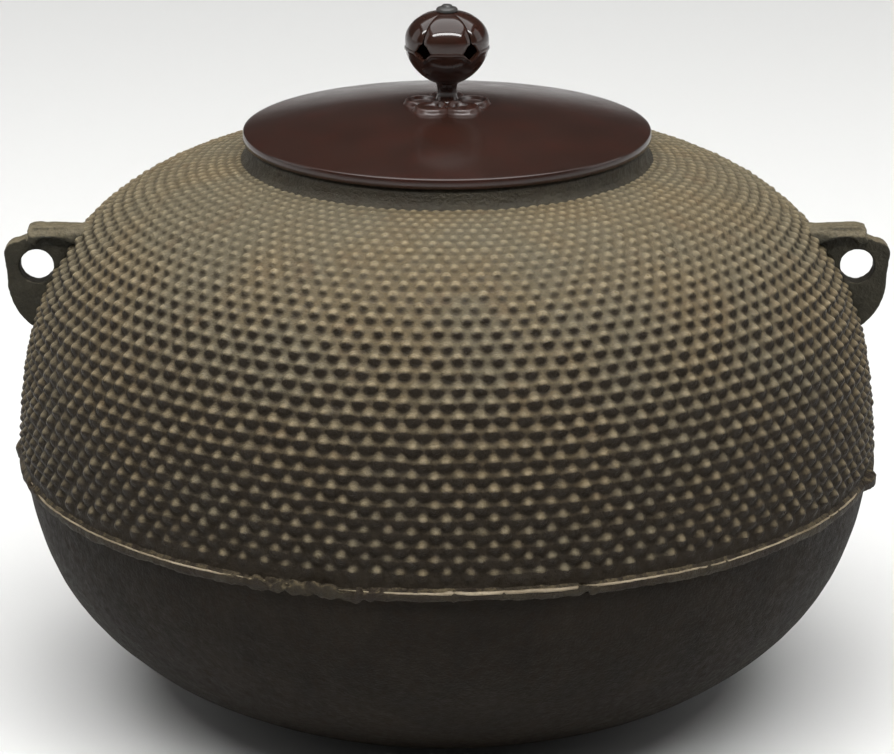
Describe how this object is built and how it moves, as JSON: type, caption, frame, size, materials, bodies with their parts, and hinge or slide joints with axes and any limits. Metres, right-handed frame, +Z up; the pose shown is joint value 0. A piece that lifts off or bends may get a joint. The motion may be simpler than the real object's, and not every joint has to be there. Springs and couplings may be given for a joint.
{
  "type": "tea kettle",
  "caption": "Round cast iron tea-ceremony kettle with a hailstone upper body, smooth lower bowl, two pierced ring lugs and a lift-off bronze lid with a hollow bud knob.",
  "frame": {"origin": "centre of the flat base, on the surface the kettle stands on", "axes": "+Z up through the knob, +X towards the right-hand ring lug, -Y towards the front"},
  "size_m": [0.2584, 0.253, 0.2063],
  "materials": {
    "hailstone_iron": "matt olive-brown lacquered casting",
    "lug_iron": "matt dark casting, rubbed on its edges",
    "bowl_iron": "matt dark fine-grained casting",
    "iron_lacquer": "matt tan lacquer with iron powder",
    "plate_iron": "dark rough iron",
    "lid_bronze": "satin red-brown patina",
    "knob_bronze": "polished dark brown patina"
  },
  "bodies": {
    "kettle": {"upper_body": "hailstone_iron", "left_lug": "lug_iron", "right_lug": "lug_iron", "lower_body": "bowl_iron", "seam_lacquer": "iron_lacquer", "sounding_plates": "plate_iron", "plate_lacquer": "iron_lacquer"},
    "lid": {"lid_plate": "lid_bronze", "lid_ring": "lid_bronze", "knob_seat": "knob_bronze", "knob_cup": "knob_bronze", "knob_petals": "knob_bronze", "knob_pin": "knob_bronze", "pin_washer": "lid_bronze"}
  },
  "joints": [
    {"name": "lid_lift", "type": "slide", "parent": "kettle", "child": "lid", "axis": [0, 0, 1], "range_m": [0, 0.08]}
  ]
}
